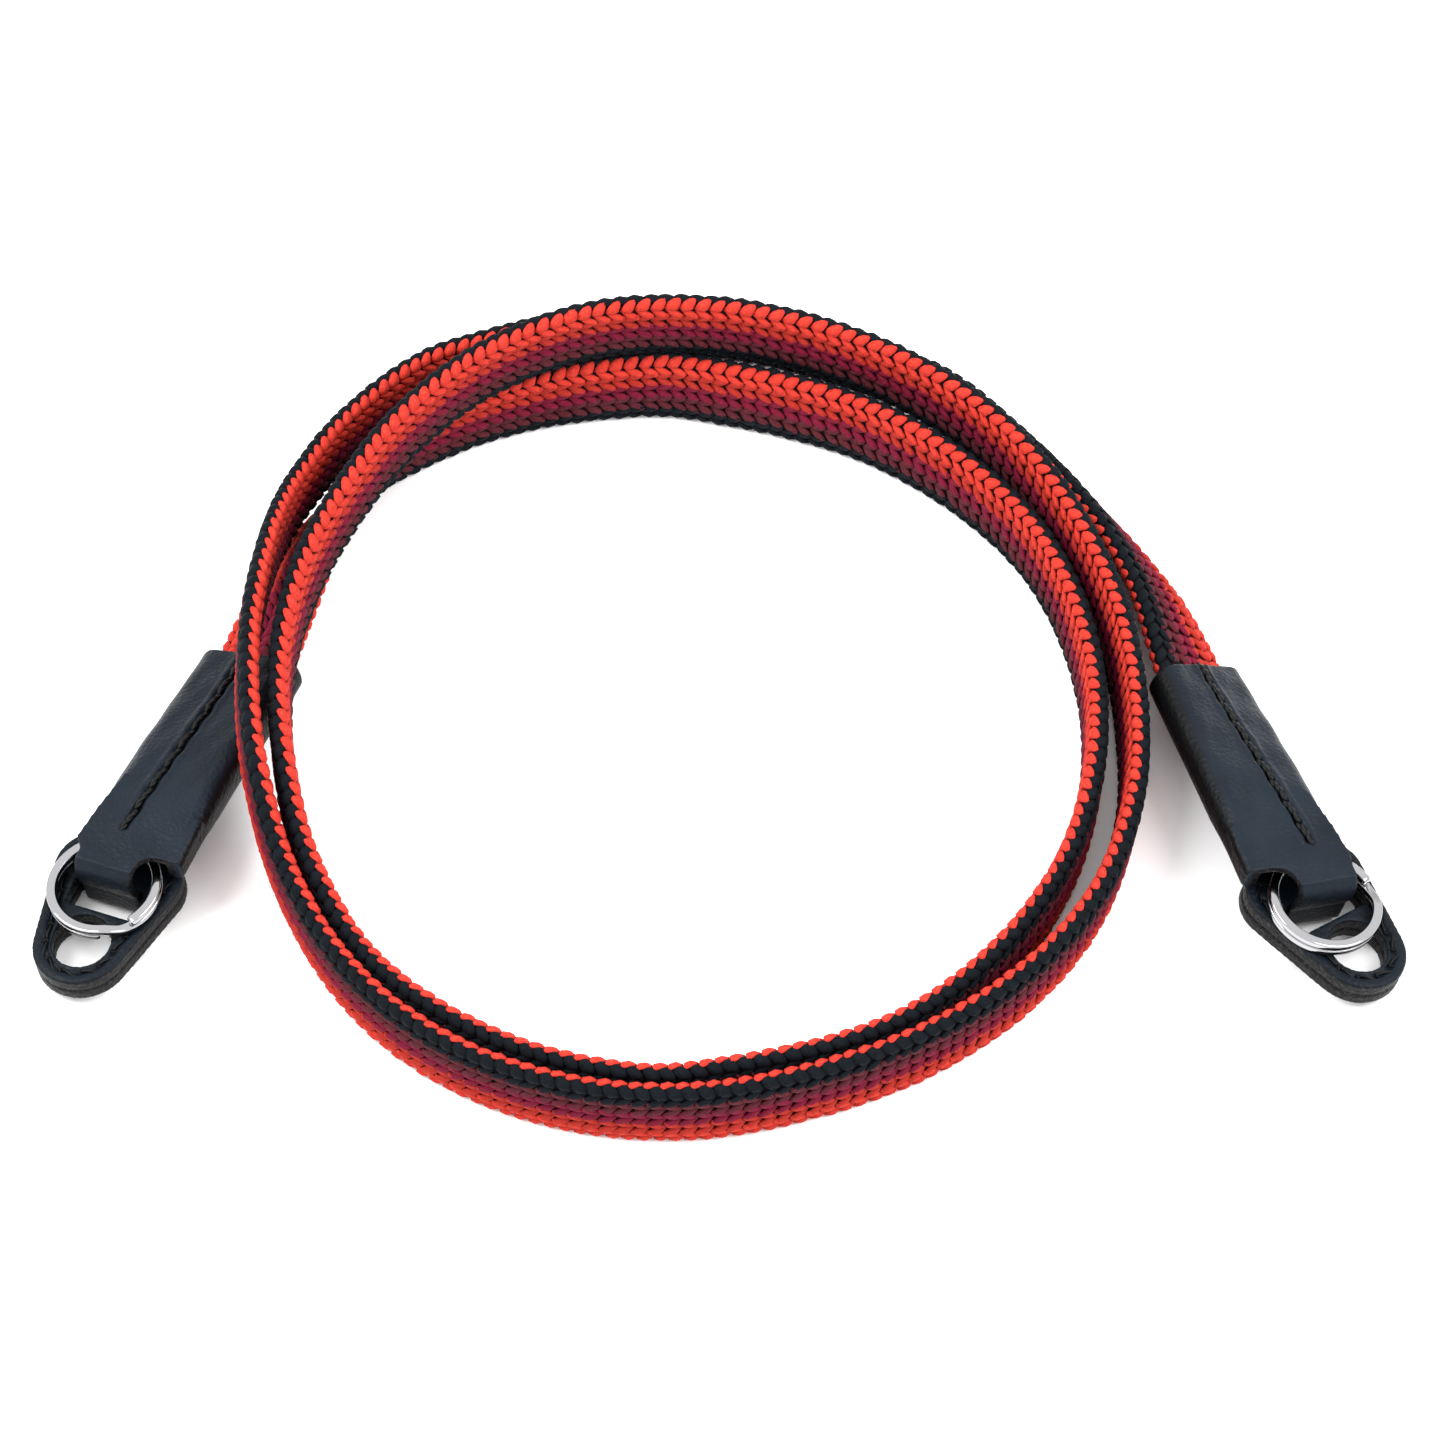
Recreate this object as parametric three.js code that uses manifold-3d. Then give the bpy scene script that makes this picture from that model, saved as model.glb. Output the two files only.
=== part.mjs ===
// Coiled camera strap.
// A flat braided strap stands on its edge on a surface, wound a little under two and a half turns. Both ends
// roll over until they lie almost flat, and each goes into a leather tab. The tab's tongue is folded round
// a split ring and passes through the slot of a leather protector pad.
// Millimetres, +Z up, origin at the bottom centre of the whole object's box.

import * as THREE from 'three';
import { mergeVertices } from 'three/addons/utils/BufferGeometryUtils.js';
import Module from 'manifold-3d';

const wasm = await Module();
wasm.setup();

const rad = THREE.MathUtils.degToRad;
const up = new THREE.Vector3(0, 0, 1);

// Band
const bandWidth = 11.3;
const bandThick = 2.8;
const bandCorner = 0.7;
const bandStep = 3.5;
const bandInTab = 27;
const bandInTabSteps = 4;

// Leather
const leather = 1.2;
const gap = 0.3;
const sleeveThick = bandThick + 2 * (gap + leather);
const sleeveSide = 0.3;
const sleeveWidth = bandWidth + 2 * (gap + leather + sleeveSide);
const sleeveLength = 33;
const sleeveSteps = 9;
const taperFrom = 25.5;
const sleeveTaper = 1.8;
const sleeveRounding = 2.8;
const mouthOverrun = 1;
const shoulderLength = 37.3;
const shoulderCorner = 1;
const foldAt = 40.3;
const foldForward = 1.1;
const tongueWidth = 8.3;
const tongueThick = 1.1;
const tongueRoot = 26;
const tongueTail = 24;
const returnEnd = 29.9;
const rootFillet = 1.5;
const foldRadius = 1.4;

// Protector pad: its slot is at the pad's own origin
const padThick = 3.8;
const padTop = -2.3;
const padNearRadius = 5.5;
const padNearX = -4.1;
const padNearY = 3.5;
const padFarRadius = 6.4;
const padFarX = 7.5;
const slotWidth = 4.5;
const slotLength = 12;
const slotRounding = 1;
const padHoleRadius = 4;
const padHoleX = 7.2;
const padSegments = 14;

// Split ring: a flat wire wound nearly two turns
const ringOuterRadius = 7.7;
const wireRadial = 1.3;
const wireAxial = 0.95;
const wireCorner = 0.2;
const wirePitch = 1.05;
const wireDegrees = 686;
const wireSteps = 56;
const crossFrom = 328;
const crossTo = 358;
const ringForward = 1.25;

// The coil, seen from above: its centre, and one row for each stretch of strap. Angle is measured from +X
// in degrees and falls as the strap runs clockwise, radius is that of the strap's middle, lift is the height
// of its lower edge and lean is how far the upper edge tips inwards.
const coilCentre = new THREE.Vector3(-3.645, -1.883, 0.043);
// angle, radius, lift, lean
const coilRows = [
  [164, 59.4, 0, 68],
  [156, 59.5, 0, 60],
  [148, 60.0, 0, 36],
  [140, 60.2, 0, 14],
  [130, 59.6, 0, 3],
  [118, 58.4, 0, 0],
  [104, 56.8, 0, -4],
  [90, 55.5, 0, -7],
  [60, 53.6, 0, -8],
  [30, 53.9, 0, -6],
  [0, 53.9, 0, -4],
  [-30, 55.6, 0, -2],
  [-60, 57.8, 0, 0],
  [-90, 59.2, 0, 0],
  [-105, 59.8, 0, 0],
  [-120, 59.6, 0, 0],
  [-135, 59.2, 0.6, 0],
  [-150, 57.5, 3.6, 0],
  [-165, 55.6, 7.6, 0],
  [-180, 54.6, 10.2, -1],
  [-195, 53.9, 11.0, -2],
  [-210, 53.8, 11.5, -2],
  [-225, 55.1, 11.9, -1],
  [-240, 56.9, 11.9, 1],
  [-255, 57.9, 11.8, 2],
  [-270, 58.2, 10.8, 2],
  [-285, 58.7, 8.8, 0],
  [-300, 59.4, 6.4, -3],
  [-315, 59.5, 4.5, -5],
  [-330, 58.7, 3.0, -6],
  [-345, 58.5, 1.6, -8],
  [-360, 58.8, 0.8, -9],
  [-375, 60.2, 0.2, -7],
  [-390, 61.4, 0, -4],
  [-405, 61.5, 0, -2],
  [-420, 61.2, 0, 0],
  [-435, 61.3, 0, 0],
  [-450, 62.4, 0, 0],
  [-465, 63.1, 0, 0],
  [-480, 63.1, 0, 0],
  [-495, 62.3, 0.6, 0],
  [-510, 60.9, 3.8, 1],
  [-525, 59.6, 9.2, 4],
  [-540, 59.1, 11.2, 6],
  [-555, 60.1, 9.6, 6],
  [-570, 63.2, 4.6, 4],
  [-585, 66.2, 1.6, 2],
  [-600, 67.6, 0.2, 0],
  [-630, 66.2, 0, 0],
  [-660, 64.4, 0, 2],
  [-675, 64.0, 0, 8],
  [-690, 64.9, 0, 22],
  [-702, 66.2, 0, 38],
];

// The two tabs. Mouth is the middle of the tab's open end, from the coil's centre. Heading is the tab's way
// out from -Y, hand is 1 on the right and -1 on the left. Heights are the strap's middle plane, roll lifts
// the edge nearer the coil.
const sides = {
  left: {
    hand: -1, mouthX: -59.3, mouthY: 8.7, heading: 22.5, mouthHeight: 4.25, endHeight: 8.6,
    mouthRoll: 17, endRoll: 6, mouthSlope: 0.1, endSlope: -0.04, tongueShift: 2.3,
    padForward: 1.9, padSide: 0, padYaw: 0, ringTurn: 20,
  },
  right: {
    hand: 1, mouthX: 67.0, mouthY: 6.9, heading: 18.6, mouthHeight: 5.6, endHeight: 9.4,
    mouthRoll: 34, endRoll: 12, mouthSlope: 0.1, endSlope: -0.04, tongueShift: 3.2,
    padForward: 0.85, padSide: 0.7, padYaw: 17, ringTurn: 70,
  },
};

// Materials
const braid = new THREE.MeshStandardMaterial({ color: 0x8c2226, roughness: 0.8, metalness: 0 });
const blackLeather = new THREE.MeshStandardMaterial({ color: 0x17181d, roughness: 0.5, metalness: 0 });
const nickel = new THREE.MeshStandardMaterial({ color: 0xc8cacd, roughness: 0.2, metalness: 1 });

// Smooth curve through values that are given at growing distances
function through(knots, values) {
  const last = values.length - 1;
  const slopes = values.map((value, i) => {
    const before = Math.max(i - 1, 0);
    const after = Math.min(i + 1, last);
    return values[after].clone().sub(values[before]).divideScalar(knots[after] - knots[before]);
  });
  return (at) => {
    let i = knots.findIndex((knot) => knot > at) - 1;
    if (i < 0) i = at < knots[0] ? 0 : last - 1;
    const span = knots[i + 1] - knots[i];
    const u = (at - knots[i]) / span;
    return values[i].clone().multiplyScalar(2 * u ** 3 - 3 * u ** 2 + 1)
      .addScaledVector(values[i + 1], 3 * u ** 2 - 2 * u ** 3)
      .addScaledVector(slopes[i], span * (u ** 3 - 2 * u ** 2 + u))
      .addScaledVector(slopes[i + 1], span * (u ** 3 - u ** 2));
  };
}

// Middle line of a tab: place and roll at a distance from its mouth. Past the sleeve it runs straight.
function tabLine(side, along) {
  const u = THREE.MathUtils.clamp(along / sleeveLength, 0, 1);
  const cubic = (2 * u ** 3 - 3 * u ** 2 + 1) * side.mouthHeight + (3 * u ** 2 - 2 * u ** 3) * side.endHeight
    + sleeveLength * ((u ** 3 - 2 * u ** 2 + u) * side.mouthSlope + (u ** 3 - u ** 2) * side.endSlope);
  const past = Math.max(along - sleeveLength, 0) * side.endSlope + Math.min(along, 0) * side.mouthSlope;
  const point = new THREE.Vector3(
    coilCentre.x + side.mouthX + side.hand * along * Math.sin(rad(side.heading)),
    coilCentre.y + side.mouthY - along * Math.cos(rad(side.heading)),
    coilCentre.z + cubic + past,
  );
  return { point, roll: THREE.MathUtils.lerp(side.mouthRoll, side.endRoll, u) };
}

// Place and directions on a tab: along it, out of its upper face and across it
function tabFrame(side, distance) {
  const { point, roll } = tabLine(side, distance);
  const along = tabLine(side, distance + 0.1).point.sub(tabLine(side, distance - 0.1).point).normalize();
  const inward = along.clone().cross(up).normalize().multiplyScalar(side.hand);
  const raised = inward.clone().cross(along).multiplyScalar(side.hand);
  const inner = inward.multiplyScalar(Math.cos(rad(roll))).addScaledVector(raised, Math.sin(rad(roll)));
  const across = inner.multiplyScalar(side.hand);
  return { point, along, across, out: across.clone().cross(along) };
}

// The strap's whole route as places with a lean, from inside one tab to inside the other
function routeStations() {
  const inTab = (side) => Array.from({ length: bandInTabSteps + 1 }, (_, i) => {
    const { point, roll } = tabLine(side, bandInTab * i / bandInTabSteps);
    return new THREE.Vector4(point.x, point.y, point.z, 90 - roll);
  });
  const coil = coilRows.map(([angle, radius, lift, lean]) => new THREE.Vector4(
    coilCentre.x + radius * Math.cos(rad(angle)),
    coilCentre.y + radius * Math.sin(rad(angle)),
    coilCentre.z + lift + bandWidth / 2 * Math.abs(Math.cos(rad(lean)))
      + bandThick / 2 * Math.abs(Math.sin(rad(lean))),
    lean,
  ));
  return [...inTab(sides.left).reverse(), ...coil, ...inTab(sides.right)];
}

// The route: its length, and place and directions at a distance along it
function makeRoute() {
  const stations = routeStations();
  const place = (station) => new THREE.Vector3(station.x, station.y, station.z);
  const knots = [0];
  for (let i = 1; i < stations.length; i += 1) {
    knots.push(knots[i - 1] + place(stations[i]).distanceTo(place(stations[i - 1])));
  }
  const at = through(knots, stations);
  const frame = (distance) => {
    const here = at(distance);
    const along = place(at(distance + 0.1)).sub(place(at(distance - 0.1))).normalize();
    const inward = along.clone().cross(up).normalize();
    const raised = inward.clone().cross(along);
    const lean = rad(here.w);
    const across = raised.multiplyScalar(Math.cos(lean)).addScaledVector(inward, Math.sin(lean));
    return { point: place(here), along, across, out: across.clone().cross(along) };
  };
  return { length: knots.at(-1), frame };
}

// Closed outline through corners, each given with the length that its rounding takes off
function roundedOutline(corners) {
  const outline = new THREE.Shape();
  corners.forEach(([x, y, rounding], i) => {
    const [beforeX, beforeY] = corners.at(i - 1);
    const [afterX, afterY] = corners[(i + 1) % corners.length];
    const start = new THREE.Vector2(beforeX - x, beforeY - y).setLength(rounding);
    const end = new THREE.Vector2(afterX - x, afterY - y).setLength(rounding);
    if (i === 0) outline.moveTo(x + start.x, y + start.y);
    else outline.lineTo(x + start.x, y + start.y);
    outline.quadraticCurveTo(x, y, x + end.x, y + end.y);
  });
  outline.closePath();
  return outline;
}

function roundedRectangle(width, height, rounding) {
  const x = width / 2;
  const y = height / 2;
  return roundedOutline([[x, -y, rounding], [x, y, rounding], [-x, y, rounding], [-x, -y, rounding]]);
}

// Outline of a ribbon seen from its side: a line with rounded corners, thickened to both sides
function ribbonOutline(corners, thick, rounding) {
  const line = new THREE.Path();
  line.moveTo(...corners[0]);
  for (let i = 1; i < corners.length - 1; i += 1) {
    const here = new THREE.Vector2(...corners[i]);
    const start = new THREE.Vector2(...corners[i - 1]).sub(here).setLength(rounding).add(here);
    const end = new THREE.Vector2(...corners[i + 1]).sub(here).setLength(rounding).add(here);
    line.lineTo(start.x, start.y);
    line.quadraticCurveTo(here.x, here.y, end.x, end.y);
  }
  line.lineTo(...corners.at(-1));
  const points = line.getPoints(4);
  const left = [];
  const right = [];
  points.forEach((point, i) => {
    const before = points[Math.max(i - 1, 0)];
    const after = points[Math.min(i + 1, points.length - 1)];
    const along = after.clone().sub(before).normalize();
    const side = new THREE.Vector2(-along.y, along.x).multiplyScalar(thick / 2);
    left.push(point.clone().add(side));
    right.unshift(point.clone().sub(side));
  });
  return new THREE.Shape([...left, ...right]);
}

function extrude(shape, depth, steps, curveSegments) {
  return new THREE.ExtrudeGeometry(shape, { depth, steps, curveSegments, bevelEnabled: false });
}

// Carries a piece drawn straight along z onto a line in space: x goes out of the strap's face, y across it
function bend(geometry, frameAt) {
  const places = geometry.getAttribute('position');
  const drawn = new THREE.Vector3();
  for (let i = 0; i < places.count; i += 1) {
    drawn.fromBufferAttribute(places, i);
    const { point, out, across } = frameAt(drawn.z);
    const bent = point.clone().addScaledVector(out, drawn.x).addScaledVector(across, drawn.y);
    places.setXYZ(i, bent.x, bent.y, bent.z);
  }
  return geometry;
}

function toSolid(geometry) {
  geometry.deleteAttribute('normal');
  geometry.deleteAttribute('uv');
  const merged = mergeVertices(geometry);
  return new wasm.Manifold(new wasm.Mesh({
    numProp: 3,
    vertProperties: new Float32Array(merged.attributes.position.array),
    triVerts: new Uint32Array(merged.index.array),
  }));
}

function toGeometry(solid) {
  const { vertProperties, triVerts } = solid.getMesh();
  const geometry = new THREE.BufferGeometry();
  geometry.setAttribute('position', new THREE.BufferAttribute(vertProperties, 3));
  geometry.setIndex(new THREE.BufferAttribute(triVerts, 1));
  const faceted = geometry.toNonIndexed();
  faceted.computeVertexNormals();
  return faceted;
}

function named(name, geometry, material) {
  const mesh = new THREE.Mesh(geometry, material);
  mesh.name = name;
  return mesh;
}

function makeBand() {
  const route = makeRoute();
  const section = roundedRectangle(bandThick, bandWidth, bandCorner);
  const straight = extrude(section, route.length, Math.round(route.length / bandStep), 1);
  return named('braided_band', bend(straight, route.frame), braid);
}

// The sleeve is a flattened tube round the strap's end. Past the strap's end its lower side rises a little.
function makeSleeve(frameAt) {
  const section = roundedRectangle(sleeveThick, sleeveWidth, sleeveRounding);
  const outside = extrude(section, sleeveLength, sleeveSteps, 3);
  const places = outside.getAttribute('position');
  for (let i = 0; i < places.count; i += 1) {
    const past = THREE.MathUtils.smoothstep(places.getZ(i), taperFrom, sleeveLength);
    if (places.getX(i) < 0) places.setX(i, places.getX(i) * (1 - sleeveTaper * past / (sleeveThick / 2)));
  }
  const inside = extrude(roundedRectangle(bandThick + 2 * gap, bandWidth + 2 * gap, bandCorner),
    mouthOverrun + bandInTab + gap, sleeveSteps, 1).translate(0, 0, -mouthOverrun);
  return toSolid(bend(outside, frameAt)).subtract(toSolid(bend(inside, frameAt)));
}

// The tongue leaves the sleeve's upper wall, folds down through the pad's slot and comes back under the pad
function makeTongue(side) {
  const layer = (sleeveThick - leather) / 2;
  const under = padTop - padThick - gap - tongueThick / 2;
  const front = foldAt + foldForward;
  const fold = extrude(ribbonOutline([
    [tongueRoot, layer], [front, layer], [front, under], [returnEnd, under],
    [tongueRoot, -layer], [tongueTail, -layer],
  ], tongueThick, foldRadius), tongueWidth, 1, 4);
  fold.translate(0, 0, -tongueWidth / 2);
  fold.applyMatrix4(new THREE.Matrix4().set(0, 1, 0, 0, 0, 0, 1, 0, 1, 0, 0, 0, 0, 0, 0, 1));

  const half = tongueWidth / 2;
  const inner = sleeveWidth / 2 + side.tongueShift;
  const outer = sleeveWidth / 2 - side.tongueShift;
  const root = new THREE.Shape();
  root.moveTo(-side.hand * (outer - shoulderCorner), tongueRoot);
  root.lineTo(side.hand * (inner - shoulderCorner), tongueRoot);
  root.lineTo(side.hand * (inner - shoulderCorner), sleeveLength - shoulderCorner);
  root.lineTo(side.hand * inner, sleeveLength);
  root.lineTo(side.hand * inner, shoulderLength);
  root.lineTo(side.hand * (half + rootFillet), shoulderLength);
  root.quadraticCurveTo(side.hand * half, shoulderLength, side.hand * half, shoulderLength + rootFillet);
  root.lineTo(side.hand * half, foldAt - shoulderCorner);
  root.lineTo(-side.hand * half, foldAt - shoulderCorner);
  root.lineTo(-side.hand * half, shoulderLength + shoulderCorner);
  root.lineTo(-side.hand * outer, shoulderLength);
  root.lineTo(-side.hand * outer, sleeveLength);
  root.closePath();
  const plate = extrude(root, tongueThick, 1, 4).translate(0, 0, layer - tongueThick / 2);
  plate.applyMatrix4(new THREE.Matrix4().set(0, 0, 1, 0, 1, 0, 0, 0, 0, 1, 0, 0, 0, 0, 0, 1));
  return { fold, plate };
}

function makeTab(name, side) {
  const frameAt = (distance) => tabFrame(side, distance);
  const { fold, plate } = makeTongue(side);
  const flat = toSolid(fold).add(toSolid(plate));
  const tongue = toGeometry(flat).translate(0, -side.hand * side.tongueShift, 0);
  return named(name, toGeometry(makeSleeve(frameAt).add(toSolid(bend(tongue, frameAt)))), blackLeather);
}

// Outline of a pad: two small rounds near the tab and a larger one at the far end, with straight sides
function makePad(name) {
  const reach = Math.hypot(padFarX - padNearX, padNearY);
  const slant = Math.atan2(-padNearY, padFarX - padNearX);
  const flank = slant + Math.acos((padNearRadius - padFarRadius) / reach);
  const shape = new THREE.Shape();
  shape.absarc(padFarX, 0, padFarRadius, -flank, flank, false);
  shape.absarc(padNearX, padNearY, padNearRadius, flank, Math.PI, false);
  shape.absarc(padNearX, -padNearY, padNearRadius, Math.PI, 2 * Math.PI - flank, false);
  const slot = roundedRectangle(slotWidth, slotLength, slotRounding);
  const hole = new THREE.Path();
  hole.absarc(padHoleX, 0, padHoleRadius, 0, 2 * Math.PI, true);
  shape.holes.push(slot, hole);
  const plate = extrude(shape, padThick, 1, padSegments).translate(0, 0, padTop - padThick);
  return named(name, plate, blackLeather);
}

// Split ring lying flat: the wire climbs from its first turn to its second in one short crossing
function makeRing(name) {
  const radius = ringOuterRadius - wireRadial / 2;
  const level = (turned) => wirePitch * THREE.MathUtils.smoothstep(turned, crossFrom, crossTo);
  const wire = extrude(roundedRectangle(wireRadial, wireAxial, wireCorner), wireDegrees, wireSteps, 1);
  const frameAt = (turned) => {
    const out = new THREE.Vector3(Math.cos(rad(turned)), -Math.sin(rad(turned)), 0);
    const point = out.clone().multiplyScalar(radius).setZ(wireAxial / 2 + level(turned));
    return { point, out, across: up };
  };
  return named(name, bend(wire, frameAt), nickel);
}

// Ring and pad sit at the tongue's fold, in a group whose x runs on along the tongue and whose z is up
function makeEnd(label, side) {
  const { point, along, across, out } = tabFrame(side, foldAt);
  const end = new THREE.Group();
  end.applyMatrix4(new THREE.Matrix4().makeBasis(along, across.clone().negate(), out)
    .setPosition(point.addScaledVector(across, -side.hand * side.tongueShift)));
  const pad = makePad(`pad_${label}`);
  pad.position.set(side.padForward, side.hand * side.padSide, 0);
  pad.rotation.z = rad(side.hand * side.padYaw);
  const ring = makeRing(`ring_${label}`);
  ring.position.set(ringForward, 0, padTop + gap);
  ring.rotation.z = rad(side.ringTurn);
  end.add(pad, ring);
  return end;
}

const strap = new THREE.Group();
strap.add(makeBand());
for (const [label, side] of Object.entries(sides)) {
  strap.add(makeTab(`tab_${label}`, side));
  strap.add(makeEnd(label, side));
}

export default strap;
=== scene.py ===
import math

import bpy
import numpy as np
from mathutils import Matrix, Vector
from mathutils.geometry import tessellate_polygon


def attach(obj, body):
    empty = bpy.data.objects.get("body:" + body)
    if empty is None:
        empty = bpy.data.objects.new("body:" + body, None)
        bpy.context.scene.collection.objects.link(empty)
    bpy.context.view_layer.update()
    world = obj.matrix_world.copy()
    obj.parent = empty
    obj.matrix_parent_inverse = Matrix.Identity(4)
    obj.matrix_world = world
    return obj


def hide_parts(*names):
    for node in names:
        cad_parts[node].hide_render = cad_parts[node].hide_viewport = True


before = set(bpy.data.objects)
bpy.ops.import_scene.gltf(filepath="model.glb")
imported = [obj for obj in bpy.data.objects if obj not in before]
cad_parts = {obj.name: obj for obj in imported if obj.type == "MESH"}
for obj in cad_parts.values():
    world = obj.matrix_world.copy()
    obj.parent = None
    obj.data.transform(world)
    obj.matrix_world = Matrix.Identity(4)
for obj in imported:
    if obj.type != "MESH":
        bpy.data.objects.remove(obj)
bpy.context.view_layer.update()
MM = 0.001


# Camera: it looks down at the coil from the tabs' side. Millimetres and degrees.
CAMERA_TARGET = (0.055, 1.117, 0.043)
CAMERA_DISTANCE = 880
CAMERA_DOWN = 55
CAMERA_LENS = 162.75
CAMERA_SENSOR = 36

# Strap: the route of its solid, with the last four rows moved by up to 0.5 mm and 4 degrees of lean
BAND_WIDTH = 11.3
BAND_THICK = 2.8
BAND_IN_TAB = 27
BAND_IN_TAB_STEPS = 4
SLEEVE_LENGTH = 33
COIL_CENTRE = (-3.645, -1.883, 0.043)
LOOK_ASIDE = 0.1
# angle, radius, lift, lean
COIL_ROWS = [
    (164, 59.4, 0, 68),
    (156, 59.5, 0, 60),
    (148, 60.0, 0, 36),
    (140, 60.2, 0, 14),
    (130, 59.6, 0, 3),
    (118, 58.4, 0, 0),
    (104, 56.8, 0, -4),
    (90, 55.5, 0, -7),
    (60, 53.6, 0, -8),
    (30, 53.9, 0, -6),
    (0, 53.9, 0, -4),
    (-30, 55.6, 0, -2),
    (-60, 57.8, 0, 0),
    (-90, 59.2, 0, 0),
    (-105, 59.8, 0, 0),
    (-120, 59.6, 0, 0),
    (-135, 59.2, 0.6, 0),
    (-150, 57.5, 3.6, 0),
    (-165, 55.6, 7.6, 0),
    (-180, 54.6, 10.2, -1),
    (-195, 53.9, 11.0, -2),
    (-210, 53.8, 11.5, -2),
    (-225, 55.1, 11.9, -1),
    (-240, 56.9, 11.9, 1),
    (-255, 57.9, 11.8, 2),
    (-270, 58.2, 10.8, 2),
    (-285, 58.7, 8.8, 0),
    (-300, 59.4, 6.4, -3),
    (-315, 59.5, 4.5, -5),
    (-330, 58.7, 3.0, -6),
    (-345, 58.5, 1.6, -8),
    (-360, 58.8, 0.8, -9),
    (-375, 60.2, 0.2, -7),
    (-390, 61.4, 0, -4),
    (-405, 61.5, 0, -2),
    (-420, 61.2, 0, 0),
    (-435, 61.3, 0, 0),
    (-450, 62.4, 0, 0),
    (-465, 63.1, 0, 0),
    (-480, 63.1, 0, 0),
    (-495, 62.3, 0.6, 0),
    (-510, 60.9, 3.8, 1),
    (-525, 59.6, 9.2, 4),
    (-540, 59.1, 11.2, 6),
    (-555, 60.1, 9.6, 6),
    (-570, 63.2, 4.6, 4),
    (-585, 66.2, 1.6, 2),
    (-600, 67.6, 0.2, 0),
    (-630, 66.2, 0, 0),
    (-660, 64.3, 0, 3),
    (-675, 63.5, 0, 12),
    (-690, 64.5, 0, 26),
    (-702, 66.0, 0, 40),
]
# hand: 1 on the right. mouth: place of the tab's mouth from the coil's centre. heading: turn of the tab
# away from straight ahead. heights, rolls, slopes: at its mouth and at its end. shift: how far the tongue
# lies off the middle. pad: forward, sideways, yaw. ring_turn: where the wire of the ring starts.
SIDES = {
    "left": dict(
        hand=-1, mouth=(-59.3, 8.7), heading=22.5, heights=(4.25, 8.6), rolls=(17, 6),
        slopes=(0.1, -0.04), shift=2.3, pad=(1.9, 0, 0), ring_turn=20),
    "right": dict(
        hand=1, mouth=(67.0, 6.9), heading=18.6, heights=(5.6, 9.4), rolls=(34, 12),
        slopes=(0.1, -0.04), shift=3.2, pad=(0.85, 0.7, 17), ring_turn=70),
}


def unit(vectors):
    return vectors / np.linalg.norm(vectors, axis=-1, keepdims=True)


def curve_weights(u):
    """Shares of the start, the end, the start's slope and the end's slope in a smooth curve."""
    return 2 * u**3 - 3 * u**2 + 1, 3 * u**2 - 2 * u**3, u**3 - 2 * u**2 + u, u**3 - u**2


def through(knots, values, at):
    """Smooth curve through values that are given at growing distances."""
    before = np.maximum(np.arange(len(knots)) - 1, 0)
    after = np.minimum(np.arange(len(knots)) + 1, len(knots) - 1)
    slopes = (values[after] - values[before]) / (knots[after] - knots[before])[:, None]
    i = np.clip(np.searchsorted(knots, at, side="right") - 1, 0, len(knots) - 2)
    span = (knots[i + 1] - knots[i])[:, None]
    start, end, start_slope, end_slope = curve_weights((at - knots[i])[:, None] / span)
    return (values[i] * start + values[i + 1] * end
            + slopes[i] * span * start_slope + slopes[i + 1] * span * end_slope)


def tab_line(side, along):
    """Middle line of a tab: places and rolls at distances from its mouth."""
    along = np.atleast_1d(np.asarray(along, float))
    u = np.clip(along / SLEEVE_LENGTH, 0, 1)
    start, end, start_slope, end_slope = curve_weights(u)
    first_height, last_height = side["heights"]
    first_roll, last_roll = side["rolls"]
    first_slope, last_slope = side["slopes"]
    height = (start * first_height + end * last_height
              + SLEEVE_LENGTH * (start_slope * first_slope + end_slope * last_slope)
              + np.maximum(along - SLEEVE_LENGTH, 0) * last_slope + np.minimum(along, 0) * first_slope)
    heading = math.radians(side["heading"])
    points = np.stack([
        COIL_CENTRE[0] + side["mouth"][0] + side["hand"] * along * math.sin(heading),
        COIL_CENTRE[1] + side["mouth"][1] - along * math.cos(heading),
        COIL_CENTRE[2] + height], axis=-1)
    return points, first_roll + (last_roll - first_roll) * u


def tab_frame(side, distance):
    """Places and directions on a tab: along it, out of its upper face and across it."""
    distance = np.atleast_1d(np.asarray(distance, float))
    points, rolls = tab_line(side, distance)
    along = unit(tab_line(side, distance + LOOK_ASIDE)[0] - tab_line(side, distance - LOOK_ASIDE)[0])
    inward = unit(np.cross(along, (0, 0, 1))) * side["hand"]
    raised = np.cross(inward, along) * side["hand"]
    roll = np.radians(rolls)[:, None]
    across = (inward * np.cos(roll) + raised * np.sin(roll)) * side["hand"]
    return points, along, np.cross(across, along), across


def route_stations():
    rows = []
    inside = [BAND_IN_TAB * i / BAND_IN_TAB_STEPS for i in range(BAND_IN_TAB_STEPS + 1)]
    for distance in reversed(inside):
        points, rolls = tab_line(SIDES["left"], distance)
        rows.append((*points[0], 90 - rolls[0]))
    for angle, radius, lift, lean in COIL_ROWS:
        turn, tilt = math.radians(angle), math.radians(lean)
        height = lift + BAND_WIDTH / 2 * abs(math.cos(tilt)) + BAND_THICK / 2 * abs(math.sin(tilt))
        rows.append((
            COIL_CENTRE[0] + radius * math.cos(turn), COIL_CENTRE[1] + radius * math.sin(turn),
            COIL_CENTRE[2] + height, lean))
    for distance in inside:
        points, rolls = tab_line(SIDES["right"], distance)
        rows.append((*points[0], 90 - rolls[0]))
    return np.array(rows)


STATIONS = route_stations()
KNOTS = np.concatenate([[0], np.cumsum(np.linalg.norm(np.diff(STATIONS[:, :3], axis=0), axis=1))])
ROUTE_LENGTH = KNOTS[-1]


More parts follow.
